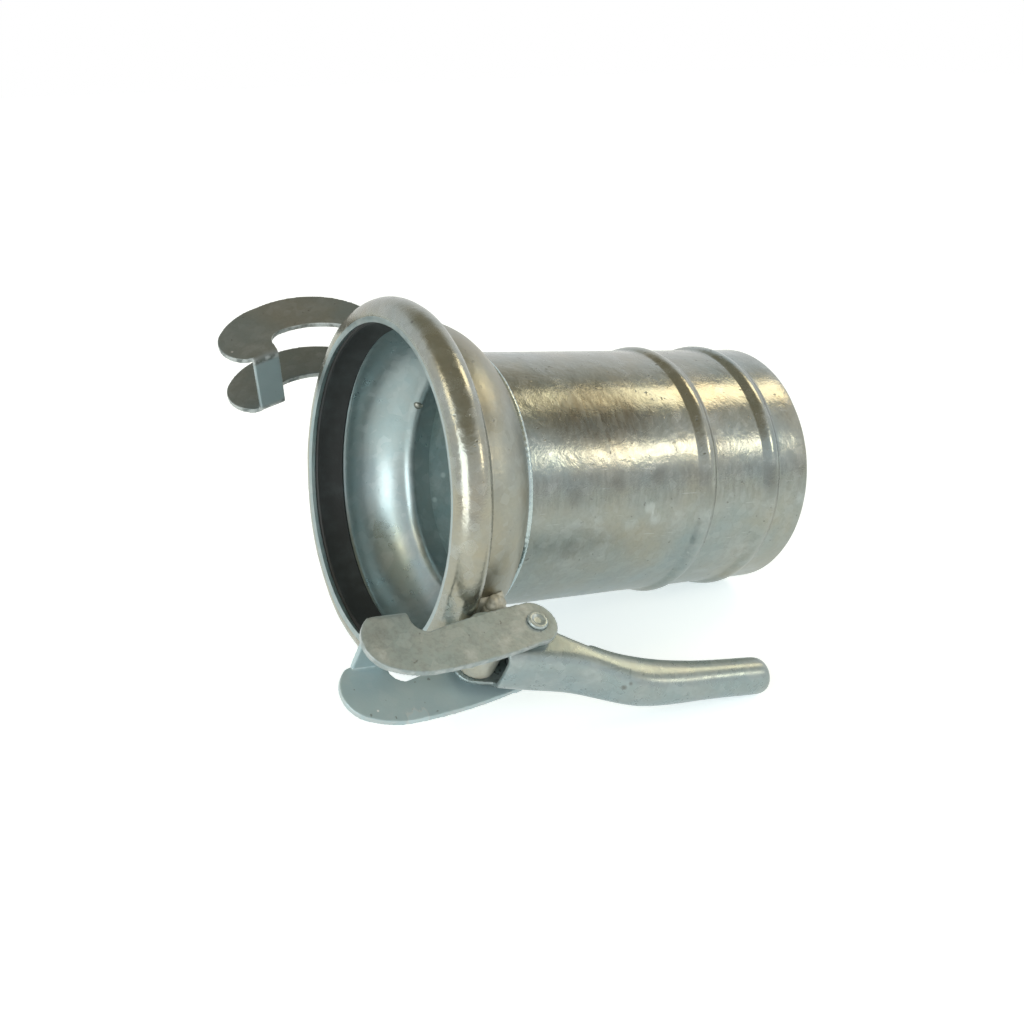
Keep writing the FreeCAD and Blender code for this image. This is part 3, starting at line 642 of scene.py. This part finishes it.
# The pressed grip behind the lever's fork is rounder than its solid
def roundGrip(mesh):
    back = lying.inverted()
    along = [(vert, (back @ vert.co).x / mm) for vert in mesh.verts]
    for k in range(grip["rounds"]):
        limit = grip["full"] + (grip["start"] - grip["full"]) * k / grip["rounds"]
        easeEdges(mesh, [vert for vert, x in along if x < limit])


for node, (body, look, voxel) in dipped.items():
    skin = dippedCopy(node, voxel)
    if node == "lever":
        easeEdges(skin, skin.verts[:], rounds=grip["leverRounds"])
        roundGrip(skin)
    finishPiece(skin, node + "_dipped", body, look, [node], sharp=60, laid=False, finish=darker.get(node))
print("lugs, pins, lever and hooks made")


# Floor, light and background

studio = {
    "floor": (0.80, 0.80, 0.80),
    "floorHalf": 6,
    "floorLift": 0.62,
    "floorGlow": (0.90, 1.0, 1.02),
    "horizon": (1.0, 1.0, 1.0),
    "ceiling": (0.36, 0.31, 0.21),
    "skyStops": (0.5, 0.76),
    "aim": (0, 0, 0.1),
    "window": {"way": (-0.65, 0.66, 0.38), "distance": 1.6, "size": 0.26, "glow": 8.5,
               "colour": (1, 0.84, 0.60)},
    "fill": {"way": (0.83, 0.45, 0.28), "distance": 1.5, "size": 0.85, "glow": 3.3,
             "colour": (0.96, 1, 1)},
    "lamp": {"way": (-0.74, -0.02, 0.66), "distance": 4.0, "size": 1.15, "glow": 4.5,
             "colour": (1, 0.79, 0.49)},
    "glint": {"way": (0.80, -0.04, 0.60), "distance": 1.4, "size": 0.35, "glow": 3.6,
              "colour": (1, 0.82, 0.54)},
}


# White to the camera and in reflections, and still darker where the coupling shades it
def layFloor():
    mesh = bmesh.new()
    bmesh.ops.create_grid(mesh, x_segments=1, y_segments=1, size=studio["floorHalf"])
    data = bpy.data.meshes.new("floor")
    mesh.to_mesh(data)
    mesh.free()
    item = bpy.data.objects.new("floor", data)
    bpy.context.scene.collection.objects.link(item)
    made, tree, shader = newMaterial("floor")
    plug(tree, shader.inputs["Base Color"], studio["floor"])
    plug(tree, shader.inputs["Roughness"], 0.9)
    plug(tree, shader.inputs["Specular IOR Level"], 0.0)
    plug(tree, shader.inputs["Emission Color"], studio["floorGlow"])
    start = Link(tree, None)
    seen = start.add("LightPath", out=0)
    mirrored = Link(tree, seen.socket.node.outputs["Is Glossy Ray"])
    through = Link(tree, seen.socket.node.outputs["Is Transmission Ray"])
    shown = seen.maths("MAXIMUM", seen.maths("MAXIMUM", seen, mirrored), through)
    plug(tree, shader.inputs["Emission Strength"], shown * studio["floorLift"])
    data.materials.append(made)


def hangLamp(name):
    lamp = studio[name]
    data = bpy.data.lights.new(name, "AREA")
    data.shape = "SQUARE"
    data.size = lamp["size"]
    data.energy = lamp["glow"] * pi * lamp["size"] ** 2
    data.color = lamp["colour"]
    item = bpy.data.objects.new(name, data)
    way = Vector(lamp["way"]).normalized()
    item.location = Vector(studio["aim"]) + lamp["distance"] * way
    item.rotation_euler = way.to_track_quat("Z", "Y").to_euler()
    bpy.context.scene.collection.objects.link(item)


def lightSky():
    world = bpy.data.worlds.new("studio")
    world.use_nodes = True
    tree = world.node_tree
    tree.nodes.clear()
    start = Link(tree, None)
    way = start.add("TexCoord", out=0)
    height = way.add("SeparateXYZ", {}, {"Vector": way}, out=2)
    low, high = studio["skyStops"]
    stops = [(0.0, studio["horizon"]), (low, studio["horizon"]), (high, studio["ceiling"]),
             (1.0, studio["ceiling"])]
    sky = height.add("ValToRGB", {"stops": stops}, {"Fac": height})
    light = sky.add("Background", {}, {"Color": sky, "Strength": 1.0})
    end = tree.nodes.new("ShaderNodeOutputWorld")
    tree.links.new(light.socket, end.inputs["Surface"])
    bpy.context.scene.world = world


layFloor()
lightSky()
for lampName in ("window", "fill", "lamp", "glint"):
    hangLamp(lampName)
bpy.context.scene.view_settings.view_transform = "Standard"
print("studio lit")
